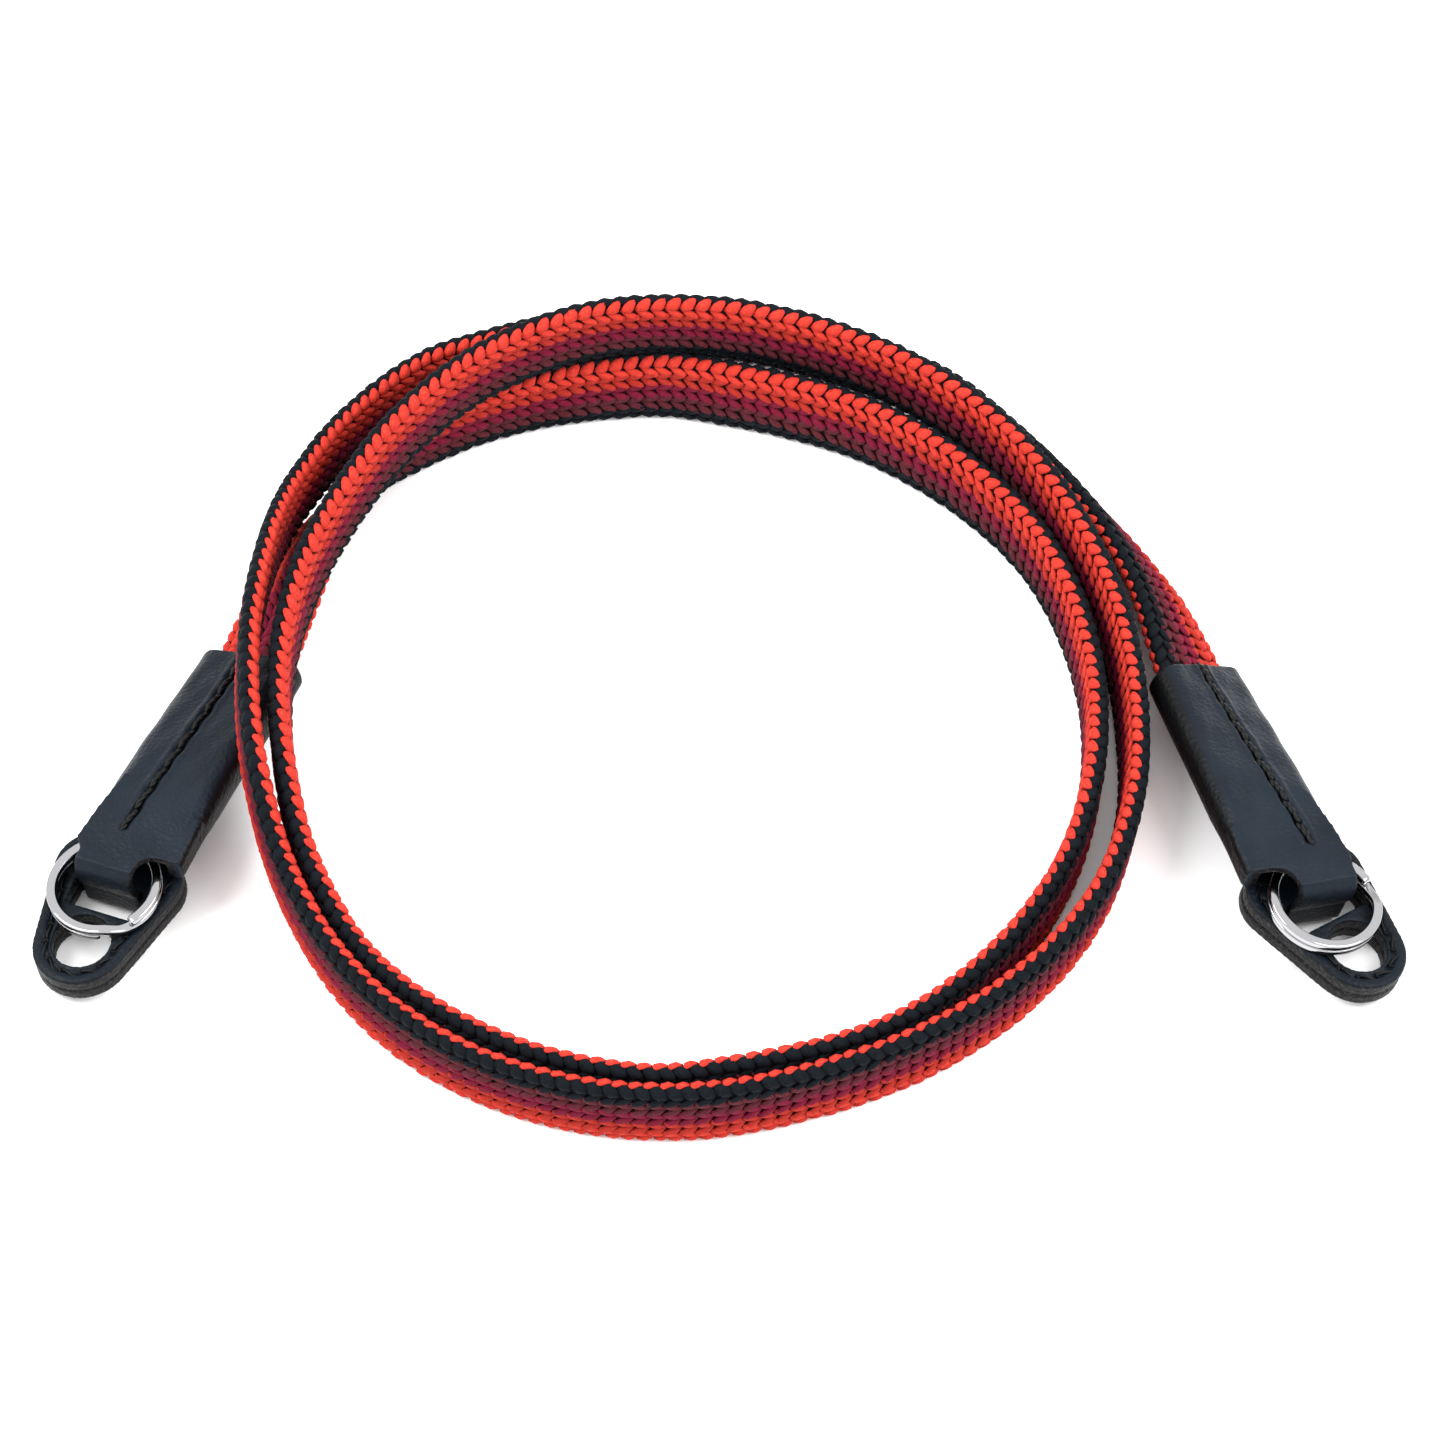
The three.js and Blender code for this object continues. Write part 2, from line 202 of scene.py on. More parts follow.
def route_frame(distance):
    here = through(KNOTS, STATIONS, distance)
    ahead = through(KNOTS, STATIONS, distance + LOOK_ASIDE)[:, :3]
    behind = through(KNOTS, STATIONS, distance - LOOK_ASIDE)[:, :3]
    along = unit(ahead - behind)
    inward = unit(np.cross(along, (0, 0, 1)))
    raised = np.cross(inward, along)
    lean = np.radians(here[:, 3:4])
    across = raised * np.cos(lean) + inward * np.sin(lean)
    return here[:, :3], along, np.cross(across, along), across


# Section of the band: a rounded flat outline. A place round it runs from the middle of the upper edge,
# down the inner face, and back up the outer face.
SURFACE = 1.05
ROUND_TURN = 1.5
FLAT_LENGTH = 8.3
QUARTER = ROUND_TURN * math.pi / 2
HALF_ROUND = FLAT_LENGTH + 2 * QUARTER


def section(place, height):
    """Outward offset and across offset of a place round the section, at a height above the inner surface."""
    place = np.mod(place, 2 * HALF_ROUND)
    second = place >= HALF_ROUND
    local = np.where(second, place - HALF_ROUND, place)
    upper = np.minimum(local, QUARTER) / ROUND_TURN
    lower = np.maximum(local - QUARTER - FLAT_LENGTH, 0) / ROUND_TURN
    flat = np.clip(local - QUARTER, 0, FLAT_LENGTH)
    angle = upper + lower
    reach = SURFACE + height
    out = -reach * np.sin(angle)
    across = FLAT_LENGTH / 2 - flat + reach * np.cos(angle)
    sign = np.where(second, -1, 1)
    return out * sign, across * sign


def on_strap(distance, place, height):
    points, _, out, across = route_frame(distance)
    x, y = section(place, height)
    return points + out * x[:, None] + across * y[:, None]


# Mesh and material helpers
BUMP_STRENGTH = 0.6
BUMP_DISTANCE = 0.00012


def make_mesh(name, vertices, faces, material, body="strap", uvs=None, smooth=True):
    mesh = bpy.data.meshes.new(name)
    mesh.from_pydata((np.asarray(vertices) * MM).tolist(), [], faces)
    mesh.validate()
    if uvs is not None:
        layer = mesh.uv_layers.new(name="grain")
        loops = np.zeros(len(mesh.loops), np.int32)
        mesh.loops.foreach_get("vertex_index", loops)
        layer.data.foreach_set("uv", np.asarray(uvs)[loops].ravel())
    if smooth:
        mesh.polygons.foreach_set("use_smooth", [True] * len(mesh.polygons))
    mesh.materials.append(material)
    piece = bpy.data.objects.new(name, mesh)
    bpy.context.scene.collection.objects.link(piece)
    if body:
        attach(piece, body)
    return piece


def new_material(name, color, roughness, metallic=0.0, **sockets):
    material = bpy.data.materials.new(name)
    material.use_nodes = True
    shader = material.node_tree.nodes["Principled BSDF"]
    shader.inputs["Base Color"].default_value = (*color, 1)
    shader.inputs["Roughness"].default_value = roughness
    shader.inputs["Metallic"].default_value = metallic
    for socket, value in sockets.items():
        shader.inputs[socket.replace("_", " ")].default_value = value
    return material, material.node_tree, shader


def add_node(tree, kind, inputs=None, **settings):
    node = tree.nodes.new(kind)
    for key, value in settings.items():
        setattr(node, key, value)
    for key, value in (inputs or {}).items():
        if isinstance(value, bpy.types.NodeSocket):
            tree.links.new(value, node.inputs[key])
        else:
            node.inputs[key].default_value = value
    return node


def mix_colors(tree, amount, first, second):
    node = add_node(tree, "ShaderNodeMix", data_type="RGBA")
    tree.links.new(amount, node.inputs[0])
    for index, color in ((6, first), (7, second)):
        if isinstance(color, bpy.types.NodeSocket):
            tree.links.new(color, node.inputs[index])
        else:
            node.inputs[index].default_value = (*color, 1)
    return node.outputs[2]


def noise(tree, vector, scale, detail=2.0, roughness=0.5):
    return add_node(tree, "ShaderNodeTexNoise", {
        "Vector": vector, "Scale": scale, "Detail": detail, "Roughness": roughness}).outputs["Fac"]


def spread(tree, value, low, high, to_low=0.0, to_high=1.0):
    """Stretches the values between low and high to another range."""
    node = add_node(tree, "ShaderNodeMapRange", {
        "Value": value, "From Min": low, "From Max": high, "To Min": to_low, "To Max": to_high})
    return node.outputs["Result"]


def add_bump(tree, shader, height):
    bump = add_node(tree, "ShaderNodeBump", {
        "Height": height, "Strength": BUMP_STRENGTH, "Distance": BUMP_DISTANCE})
    tree.links.new(bump.outputs["Normal"], shader.inputs["Normal"])


FIBRE_STRETCH = (1.1, 7.0, 1)
FIBRE_SCALE = 1.6
BLOTCH_SCALE = 260.0
BLOTCH_MOST = 0.35


def yarn_material(name, color, light, dark):
    """Bundle of fine yarn: thin fibres along each leaf, lighter and darker, with a soft fuzz."""
    material, tree, shader = new_material(
        name, color, 0.78, Sheen_Weight=0.08, Sheen_Roughness=0.5, Specular_IOR_Level=0.09)
    shader.inputs["Sheen Tint"].default_value = (*light, 1)
    place = add_node(tree, "ShaderNodeTexCoord")
    stretch = add_node(tree, "ShaderNodeMapping", {"Vector": place.outputs["UV"], "Scale": FIBRE_STRETCH})
    fibres = noise(tree, stretch.outputs["Vector"], FIBRE_SCALE, 3.0, 0.6)
    shaded = mix_colors(tree, spread(tree, fibres, 0.32, 0.68), dark, light)
    blotches = noise(tree, place.outputs["Object"], BLOTCH_SCALE)
    patches = spread(tree, blotches, 0.35, 0.65, 0.0, BLOTCH_MOST)
    tree.links.new(mix_colors(tree, patches, shaded, color), shader.inputs["Base Color"])
    add_bump(tree, shader, fibres)
    return material


GRAIN_SCALE = 1500.0
FINE_SCALE = 2400.0
TONE_SCALE = 90.0
SPECK_SCALE = 2600.0
LEATHER_ROUGHNESS = 0.42
RAW_DARK = (0.001, 0.001, 0.0015)
RAW_LIGHT = (0.028, 0.027, 0.028)
# painted shade: the near-black colour laid on the tabs' side walls, underside and fold
PAINTED_SHADE_COLOR = (0.0015, 0.0017, 0.0020)


def leather_material(name, color, edge):
    """Fine grained leather: small pebbles in the bump, slight changes of tone and gloss.

    One weight paints shade on its side walls, underside and fold by darkening the colour, and "raw" shows
    the fibres of its cut edges.
    """
    material, tree, shader = new_material(name, color, LEATHER_ROUGHNESS, Specular_IOR_Level=0.11)
    place = add_node(tree, "ShaderNodeTexCoord").outputs["Object"]
    grain = add_node(tree, "ShaderNodeTexVoronoi", {"Vector": place, "Scale": GRAIN_SCALE}, feature="F1")
    fine = noise(tree, place, FINE_SCALE, 3.0)
    height = add_node(tree, "ShaderNodeMath", {0: grain.outputs["Distance"], 1: fine}, operation="ADD")
    smooth_side = mix_colors(tree, spread(tree, noise(tree, place, TONE_SCALE, 4.0), 0.3, 0.7), color, edge)
    specks = spread(tree, noise(tree, place, SPECK_SCALE, 3.0), 0.52, 0.75)
    raw_side = mix_colors(tree, specks, RAW_DARK, RAW_LIGHT)
    painted_shade = add_node(tree, "ShaderNodeAttribute", attribute_name="painted_shade")
    # painted shade: darkens the leather's colour where the shade weight is set
    smooth_side = mix_colors(tree, painted_shade.outputs["Fac"], smooth_side, PAINTED_SHADE_COLOR)
    raw = add_node(tree, "ShaderNodeAttribute", attribute_name="raw")
    tree.links.new(mix_colors(tree, raw.outputs["Fac"], smooth_side, raw_side), shader.inputs["Base Color"])
    gloss = spread(tree, fine, 0.0, 1.0, LEATHER_ROUGHNESS - 0.08, LEATHER_ROUGHNESS + 0.12)
    tree.links.new(gloss, shader.inputs["Roughness"])
    add_bump(tree, shader, height.outputs[0])
    return material


# Colours of the yarn, round half of the section: base, light fibre, dark fibre
YARNS = {
    "red": ((0.47, 0.026, 0.016), (0.56, 0.050, 0.032), (0.33, 0.012, 0.008)),
    "orange": ((0.32, 0.015, 0.010), (0.42, 0.034, 0.022), (0.19, 0.007, 0.005)),
    "magenta": ((0.133, 0.0035, 0.016), (0.20, 0.010, 0.034), (0.058, 0.002, 0.008)),
    "maroon": ((0.066, 0.007, 0.011), (0.11, 0.020, 0.028), (0.026, 0.003, 0.005)),
    "black": ((0.0015, 0.0025, 0.004), (0.005, 0.008, 0.012), (0.0006, 0.001, 0.0015)),
}

# Stitches: each column is a chain of chevrons, and each chevron has two leaves that start at its point and
# end at the column's sides. Colour, then places round the section: upper side, point, lower side.
EDGE_SHIFT = 0.32
COLUMNS = [
    ("red", EDGE_SHIFT, 2.1, 3.15),
    ("orange", 3.15, 4.25, 5.35),
    ("magenta", 5.35, 6.5, 7.65),
    ("maroon", 7.65, 8.75, 9.85),
    ("black", 9.85, 10.95, HALF_ROUND + EDGE_SHIFT),
]
STITCH_PITCH = 2.03
STITCH_START = 24.5
LEAF_SIDES = 6
POINT_OVER = 0.10
# changes from leaf to leaf: share of its width, share of its lift, mm along the strap, mm round the section
LEAF_CHANGES = (0.05, 0.06, 0.06, 0.05)
# shift of the yarn's pattern from leaf to leaf, along it and round it, and how fast it runs round
PATTERN_SHIFT = (3.1, 0.37)
PATTERN_ROUND = 2.5
FLOOR_CLEARANCE = 0.02
# along the leaf, half width, height of its middle line, half thickness
EDGE_LEAF = [
    (0.0, 0.0, -0.45, 0.0),
    (0.10, 0.55, -0.20, 0.28),
    (0.28, 0.92, 0.08, 0.40),
    (0.48, 1.0, 0.22, 0.46),
    (0.70, 0.74, 0.32, 0.40),
    (0.88, 0.36, 0.32, 0.24),
    (1.0, 0.0, 0.16, 0.0),
]
TUCKED_LEAF = [
    (0.0, 0.0, -0.45, 0.0),
    (0.10, 0.55, -0.20, 0.28),
    (0.28, 0.92, 0.08, 0.40),
    (0.50, 1.0, 0.24, 0.48),
    (0.72, 0.92, 0.24, 0.44),
    (0.90, 0.60, 0.04, 0.32),
    (1.0, 0.0, -0.20, 0.0),
]
FACE_LEAF = [
    (0.0, 0.0, -0.45, 0.0),
    (0.12, 0.44, -0.26, 0.24),
    (0.34, 0.84, -0.02, 0.32),
    (0.60, 1.0, 0.12, 0.34),
    (0.82, 0.84, 0.18, 0.28),
    (0.94, 0.44, 0.16, 0.16),
    (1.0, 0.0, 0.04, 0.0),
]
# rows of the leaf, how far it runs along the strap, how far past the column's side it ends, fullness
LEAF_KINDS = {
    "edge": (EDGE_LEAF, 2.15, 0.62, 1.22),
    "tucked": (TUCKED_LEAF, 2.3, 0.20, 1.25),
    "face": (FACE_LEAF, 2.7, 0.30, 1.36),
}
rng = np.random.default_rng(7)


def leaf_faces(count):
    """Faces of many leaves that have the same layout: a tip, rings and a tip."""
    rings = len(EDGE_LEAF) - 2
    last = 1 + rings * LEAF_SIDES
    end_ring = last - LEAF_SIDES
    faces = []
    for j in range(LEAF_SIDES):
        k = (j + 1) % LEAF_SIDES
        faces.append((0, 1 + k, 1 + j))
        for ring in range(1, end_ring, LEAF_SIDES):
            faces.append((ring + j, ring + k, ring + LEAF_SIDES + k, ring + LEAF_SIDES + j))
        faces.append((end_ring + j, end_ring + k, last))
    size = last + 1
    return [[n * size + v for v in face] for n in range(count) for face in faces]


def leaf_vertices(starts, start_place, end_place, kind):
    """Vertices of a row of leaves, each from its chevron's point out to the column's side."""
    leaf_rows, run, over, fullness = LEAF_KINDS[kind]
    count = len(starts)
    turn = 1 if end_place > start_place else -1
    place0 = start_place - turn * POINT_OVER
    span = end_place + turn * over - place0
    length = math.hypot(span, run)
    cosine, sine = run / length, span / length
    width = STITCH_PITCH * abs(sine) / 2 * fullness
    changes = (LEAF_CHANGES * rng.normal(0, 1, (count, len(LEAF_CHANGES)))).T
    numbers = np.arange(count)
    rows = []
    uvs = []
    for along, half, middle, thick in leaf_rows:
        tip = half == 0
        for j in range(1 if tip else LEAF_SIDES):
            angle = 2 * math.pi * j / LEAF_SIDES + math.pi / 2
            side = 0 if tip else half * width * math.cos(angle) * (1 + changes[0])
            lift = middle + thick * math.sin(angle) * (1 + changes[1])
            distance = starts + run * along - side * sine + changes[2]
            place = place0 + span * along + side * cosine + changes[3]
            rows.append(np.stack([distance, place, lift], axis=-1))
            uvs.append(np.stack([
                length * along + PATTERN_SHIFT[0] * numbers,
                angle / PATTERN_ROUND + PATTERN_SHIFT[1] * numbers], axis=-1))
    return np.stack(rows, axis=1), np.stack(uvs, axis=1)


def leaf_kind(side_place):
    if side_place == EDGE_SHIFT:
        return "edge"
    return "tucked" if side_place > HALF_ROUND else "face"


def make_braid():
    """One piece for each colour, with the leaves of both faces of the strap."""
    starts = np.arange(STITCH_START, ROUTE_LENGTH - STITCH_START, STITCH_PITCH)
    for color, upper, point, lower in COLUMNS:
        material = yarn_material(f"yarn_{color}", *YARNS[color])
        vertices, uvs = [], []
        for offset, shift in ((0, 0), (HALF_ROUND, STITCH_PITCH / 2)):
            for side_place in (upper, lower):
                local, uv = leaf_vertices(
                    starts + shift, point + offset, side_place + offset, leaf_kind(side_place))
                flat = local.reshape(-1, 3)
                placed = on_strap(flat[:, 0], flat[:, 1], flat[:, 2])
                placed[:, 2] = np.maximum(placed[:, 2], FLOOR_CLEARANCE)
                vertices.append(placed)
                uvs.append(uv.reshape(-1, 2))
        faces = leaf_faces(4 * len(starts))
        piece = make_mesh(
            f"braid_{color}", np.concatenate(vertices), faces, material, uvs=np.concatenate(uvs))


CORE_HEIGHT = -0.18
CORE_STEP = 2.2
CORE_SHOULDER = 1.1
CORE_MOTTLE_SCALE = 1800.0
# painted shade: near-black mottled colours of the core, for the deep gaps between the stitches
CORE_SHADE_DARK = (0.002, 0.002, 0.003)
CORE_SHADE_LIGHT = (0.010, 0.005, 0.007)


def side_faces(count, sides):
    """Faces between neighbouring sections that all have the same number of points."""
    return [[i * sides + j, i * sides + (j + 1) % sides,
             (i + 1) * sides + (j + 1) % sides, (i + 1) * sides + j]
            for i in range(count - 1) for j in range(sides)]


def make_core():
    """Inner body of the braid, seen only between the stitches; its near-black colour is painted shade for
    the deep gaps there.
    """
    count = int(ROUTE_LENGTH / CORE_STEP)
    distances = np.linspace(0, ROUTE_LENGTH, count)
    places = np.array([
        0, CORE_SHOULDER, QUARTER, QUARTER + FLAT_LENGTH / 2, QUARTER + FLAT_LENGTH,
        HALF_ROUND - CORE_SHOULDER])
    places = np.concatenate([places, places + HALF_ROUND])
    sides = len(places)
    vertices = on_strap(
        np.repeat(distances, sides), np.tile(places, count), np.full(count * sides, CORE_HEIGHT))
    faces = [[b, a, d, c] for a, b, c, d in side_faces(count, sides)]
    faces.append(list(range(sides)))
    faces.append([(count - 1) * sides + j for j in reversed(range(sides))])
    material, tree, shader = new_material("braid_core", (0.005, 0.003, 0.004), 0.9, Specular_IOR_Level=0.1)
    mottle = noise(tree, add_node(tree, "ShaderNodeTexCoord").outputs["Object"], CORE_MOTTLE_SCALE)
    tree.links.new(mix_colors(tree, mottle, CORE_SHADE_DARK, CORE_SHADE_LIGHT), shader.inputs["Base Color"])
    piece = make_mesh("braid_core", vertices, faces, material)
    return piece


make_braid()
core = make_core()
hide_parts("braided_band")

# Leather tabs. They are drawn straight, as x out of the upper face, y across and z along, and then bent.
SLEEVE_HALF_THICK = 2.9
SLEEVE_HALF_WIDTH = 7.45
SLEEVE_END = 34.2
SLEEVE_ROUNDING = 2.5
SLEEVE_HEIGHTS = (0.25, 1.0, 4, 8, 12, 16, 20, 24, 26, 28, 30, 32, 33.2, SLEEVE_END - 0.3, SLEEVE_END)
SLEEVE_END_SIZE = 0.95
MOUTH_DEPTH = 8
MOUTH_WALL = 1.1
MOUTH_ROUNDING = 1.2
MOUTH_FLOOR_SIZE = 0.98
TAPER_FROM = 25.0
TAPER = 1.9
TONGUE_HALF = 4.15
TONGUE_THICK = 1.15
TONGUE_ROOT = 26.0
TONGUE_TOP = 40.6
FOLD_AT = 40.3
FOLD_FRONT = 41.1
FOLD_LEAN = 0.7
FOLD_GAP = 0.3
FOLD_BEND = 1.4
PAD_TOP = -2.3
PAD_THICK = 3.8
VOXEL = 0.24
# where the tab's shoulder is cut, the notch beside the tongue, and how the seam crosses the upper face
TAB_CUTS = {
    "left": dict(shoulder=37.3, notch=2.8, seam=((0, 0.2), (20, 1.0), (34.6, 2.25)), skew=0.0),
    "right": dict(shoulder=37.3, notch=3.4, seam=((0, 0.95), (17, -0.8), (34.6, -2.9)), skew=0.16),
}
# painted shade down the fold: how dark it gets
FOLD_PAINTED_SHADE = 0.6
WALL_HALF_WIDTH = 1.15
WALL_HALF_THICK = 1.95
SOFTEN_ROUNDS = 3
# seam: a groove that is wider and deeper at each hole, between two raised lips, with a cut edge in it
SEAM_START = 1.2
SEAM_END = 34.6
SEAM_DEPTH = 0.8
SEAM_WIDTH = 0.42
LIP_PLACE = 0.95
LIP_WIDTH = 0.4
LIP_HEIGHT = 0.2
CUT_WIDTH = 0.34
SKEW_REACH = 12
STITCH_LENGTH = 3.75


def rounded_section(half_x, half_y, rounding, sides=12):
    points = []
    for quarter, (sx, sy) in enumerate(((1, 1), (-1, 1), (-1, -1), (1, -1))):
        for i in range(sides):
            angle = math.pi / 2 * (quarter + i / (sides - 1))
            points.append((sx * (half_x - rounding) + rounding * math.cos(angle),
                           sy * (half_y - rounding) + rounding * math.sin(angle)))
    return np.array(points)


def loft(sections):
    """Closed mesh through sections that all have the same number of points."""
    count, sides = len(sections), len(sections[0])
    vertices = np.concatenate(sections)
    faces = side_faces(count, sides)
    faces.append(list(reversed(range(sides))))
    faces.append([(count - 1) * sides + j for j in range(sides)])
    return vertices, faces


def at_height(section_points, z):
    return np.column_stack([section_points, np.full(len(section_points), z)])


def smooth_step(value, low, high):
    t = np.clip((value - low) / (high - low), 0, 1)
    return t * t * (3 - 2 * t)


def sleeve_mesh():
    """Flattened tube with an open mouth and a lower side that rises at its far end."""
    outer = rounded_section(SLEEVE_HALF_THICK, SLEEVE_HALF_WIDTH, SLEEVE_ROUNDING)
    inner = rounded_section(SLEEVE_HALF_THICK - MOUTH_WALL, SLEEVE_HALF_WIDTH - MOUTH_WALL, MOUTH_ROUNDING)
    sections = [at_height(inner * MOUTH_FLOOR_SIZE, MOUTH_DEPTH)]
    sections += [at_height(inner, z) for z in (4, 1.5, 0.3)]
    sections += [at_height(inner + (outer - inner) * t, 0.0) for t in (0.25, 0.75)]
    for z in SLEEVE_HEIGHTS:
        points = outer.copy()
        past = smooth_step(z, TAPER_FROM, SLEEVE_END)
        low = points[:, 0] < 0
        points[low, 0] *= 1 - TAPER * past / SLEEVE_HALF_THICK
        if z == SLEEVE_END:
            points *= SLEEVE_END_SIZE
        sections.append(at_height(points, z))
    return loft(sections)


def extruded(outline, low, high):
    """Closed plate from an outline in (y, z), between two values of x."""
    outline = np.array(outline, float)
    return loft([np.column_stack([np.full(len(outline), x), outline]) for x in (low, high)])


def quarter_curve(start, corner, end, steps=8):
    start, corner, end = (np.array(p, float) for p in (start, corner, end))
    return [tuple(start * (1 - t)**2 + corner * 2 * t * (1 - t) + end * t * t)
            for t in np.linspace(0, 1, steps)]


def tongue_plate(side, cuts):
    """Upper leather at the sleeve's end: its shoulder, the notch, the tongue and the slanted far side."""
    hand, shift = side["hand"], side["shift"]
    shoulder, notch = cuts["shoulder"], cuts["notch"]
    inner, outer = SLEEVE_HALF_WIDTH + shift - 0.5, SLEEVE_HALF_WIDTH - shift
    half = TONGUE_HALF
    points = [(-(outer - 1.4), TONGUE_ROOT), (inner - 1.4, TONGUE_ROOT), (inner - 1.0, SLEEVE_END - 1),
              (inner - 0.2, SLEEVE_END), (inner - 0.2, shoulder)]
    points += quarter_curve((half + notch, shoulder), (half, shoulder), (half, shoulder + notch))
    points += [(half, TONGUE_TOP), (-half, TONGUE_TOP), (-half, 38.9)]
    points += [(-(outer + 0.25), 37.2), (-(outer - 0.35), 33)]
    outline = [(hand * (y - shift), z) for y, z in points]
    if hand < 0:
        outline.reverse()
    return extruded(outline, SLEEVE_HALF_THICK - TONGUE_THICK, SLEEVE_HALF_THICK)


def shoulder_mesh(side, cuts):
    """Folded side of the sleeve that runs on beside the tongue."""
    reach = side["hand"] * (SLEEVE_HALF_WIDTH - WALL_HALF_WIDTH)
    wall = rounded_section(WALL_HALF_THICK, WALL_HALF_WIDTH, WALL_HALF_WIDTH * 0.9)
    middle = (SLEEVE_HALF_THICK - WALL_HALF_THICK, reach)
    sizes = ((0.9, TONGUE_ROOT + 4), (1, SLEEVE_END), (1, cuts["shoulder"] - 0.6), (0.9, cuts["shoulder"]))
    return loft([at_height(wall * size + middle, z) for size, z in sizes])


def ribbon(line, half_width, thick, shift):
    """Band of leather that follows a line drawn in (x, z)."""
    line = np.array(line, float)
    along = unit(np.gradient(line, axis=0))
    side = np.column_stack([-along[:, 1], along[:, 0]])
    low, high = shift - half_width, shift + half_width
    sections = []
    for place, out in zip(line, side):
        upper, lower = place + out * thick / 2, place - out * thick / 2
        corners = ((upper, low), (upper, high), (lower, high), (lower, low))
        sections.append(np.array([(point[0], y, point[1]) for point, y in corners]))
    return loft(sections)


def fold_mesh(side):
    """Tongue from the upper leather over the fold, down through the pad and back inside the sleeve."""
    layer = SLEEVE_HALF_THICK - TONGUE_THICK / 2
    under = PAD_TOP - PAD_THICK - FOLD_GAP - TONGUE_THICK / 2
    back = FOLD_FRONT - FOLD_LEAN
    line = [(layer, 38), (layer, 39.2)]
    line += quarter_curve((layer, 39.4), (layer, FOLD_FRONT), (layer - 2.1, FOLD_FRONT), 9)
    line += quarter_curve((-0.2, FOLD_FRONT), (-1.4, FOLD_FRONT), (-2.6, back), 5)
    line += [(-4.0, back)]
    line += quarter_curve((under + FOLD_BEND, back), (under, back), (under, back - FOLD_BEND), 7)
    line += [(under, 36), (under, 32)]
    line += quarter_curve((under, 31.2), (under, 29.9), (under + 1.2, 28.9), 5)
    line += [(-2.3, 26), (-1.9, 24.5)]
    return ribbon(line, TONGUE_HALF, TONGUE_THICK, -side["hand"] * side["shift"])


def joined(parts):
    """One mesh from several closed ones, given as vertices and faces."""
    vertices, faces, base = [], [], 0
    for part_vertices, part_faces in parts:
        vertices.append(part_vertices)
        faces += [[base + v for v in face] for face in part_faces]
        base += len(part_vertices)
    return np.concatenate(vertices), faces


def melted(vertices, faces, voxel):
    """One skin with softened edges from overlapping closed solids: its vertices, normals and faces."""
    mesh = bpy.data.meshes.new("raw")
    mesh.from_pydata(np.asarray(vertices).tolist(), [], faces)
    work = bpy.data.objects.new("raw", mesh)
    bpy.context.scene.collection.objects.link(work)
    remesh = work.modifiers.new("remesh", "REMESH")
    remesh.mode = "VOXEL"
    remesh.voxel_size = voxel
    soften = work.modifiers.new("soften", "SMOOTH")
    soften.factor = 0.5
    soften.iterations = SOFTEN_ROUNDS
    evaluated = work.evaluated_get(bpy.context.evaluated_depsgraph_get())
    result = evaluated.to_mesh()
    points = np.zeros(len(result.vertices) * 3)
    result.vertices.foreach_get("co", points)
    normals = np.zeros(len(result.vertices) * 3)
    result.vertices.foreach_get("normal", normals)
    new_faces = [list(polygon.vertices) for polygon in result.polygons]
    evaluated.to_mesh_clear()
    bpy.data.objects.remove(work)
    bpy.data.meshes.remove(mesh)
    return points.reshape(-1, 3), normals.reshape(-1, 3), new_faces


def seam_at(cuts, z):
    """Across place of the seam at a distance from the mouth: a curve through its three given points."""
    (z0, y0), (z1, y1), (z2, y2) = cuts["seam"]
    return (y0 * (z - z1) * (z - z2) / ((z0 - z1) * (z0 - z2))
            + y1 * (z - z0) * (z - z2) / ((z1 - z0) * (z1 - z2))
            + y2 * (z - z0) * (z - z1) / ((z2 - z0) * (z2 - z1)))


def bent(side, points):
    places, _, out, across = tab_frame(side, points[:, 2])
    return places + out * points[:, :1] + across * points[:, 1:2]


def set_weight(piece, name, values):
    layer = piece.data.attributes.new(name, "FLOAT", "POINT")
    layer.data.foreach_set("value", np.asarray(values, np.float32))


def seam_relief(off, z):
    """Depth of the seam beside its line: the groove with an eye at each hole, less its lips."""
    eye = 0.5 + 0.5 * np.cos(2 * math.pi * (z - SEAM_START) / STITCH_LENGTH)
    width = SEAM_WIDTH * (0.75 + 0.7 * eye)
    groove = np.exp(-(off / width)**2) * SEAM_DEPTH * (0.6 + 0.4 * eye)
    return groove - np.exp(-((np.abs(off) - LIP_PLACE) / LIP_WIDTH)**2) * LIP_HEIGHT


def painted_shade_weight(points, normals):
    """Painted shade: darker side walls and underside, and the shade down the fold."""
    x, _, z = points.T
    walls = smooth_step(np.abs(normals[:, 1]), 0.45, 0.9) + smooth_step(-normals[:, 0], 0, 0.4)
    fold_shade = smooth_step(-x, -1.6, 2.2) * (z > SLEEVE_END + 3.5) * FOLD_PAINTED_SHADE
    return np.clip(walls + fold_shade, 0, 1)


def raw_weight(side, points, normals, seam_cut):
    """Fibres of the cut edges: in the seam and round the plate of the tongue, but not over the fold."""
    x, y, z = points.T
    across = y + side["hand"] * side["shift"]
    on_fold = (z > FOLD_FRONT - 1.6) & (np.abs(across) < TONGUE_HALF - 0.25)
    plate_edge = (np.abs(normals[:, 0]) < 0.45) & (z > SLEEVE_END + 0.6) & (x > -2.2) & ~on_fold
    outer_wall = np.abs(y) > SLEEVE_HALF_WIDTH - 1.0
    return np.clip(seam_cut + (plate_edge & ~outer_wall), 0, 1)


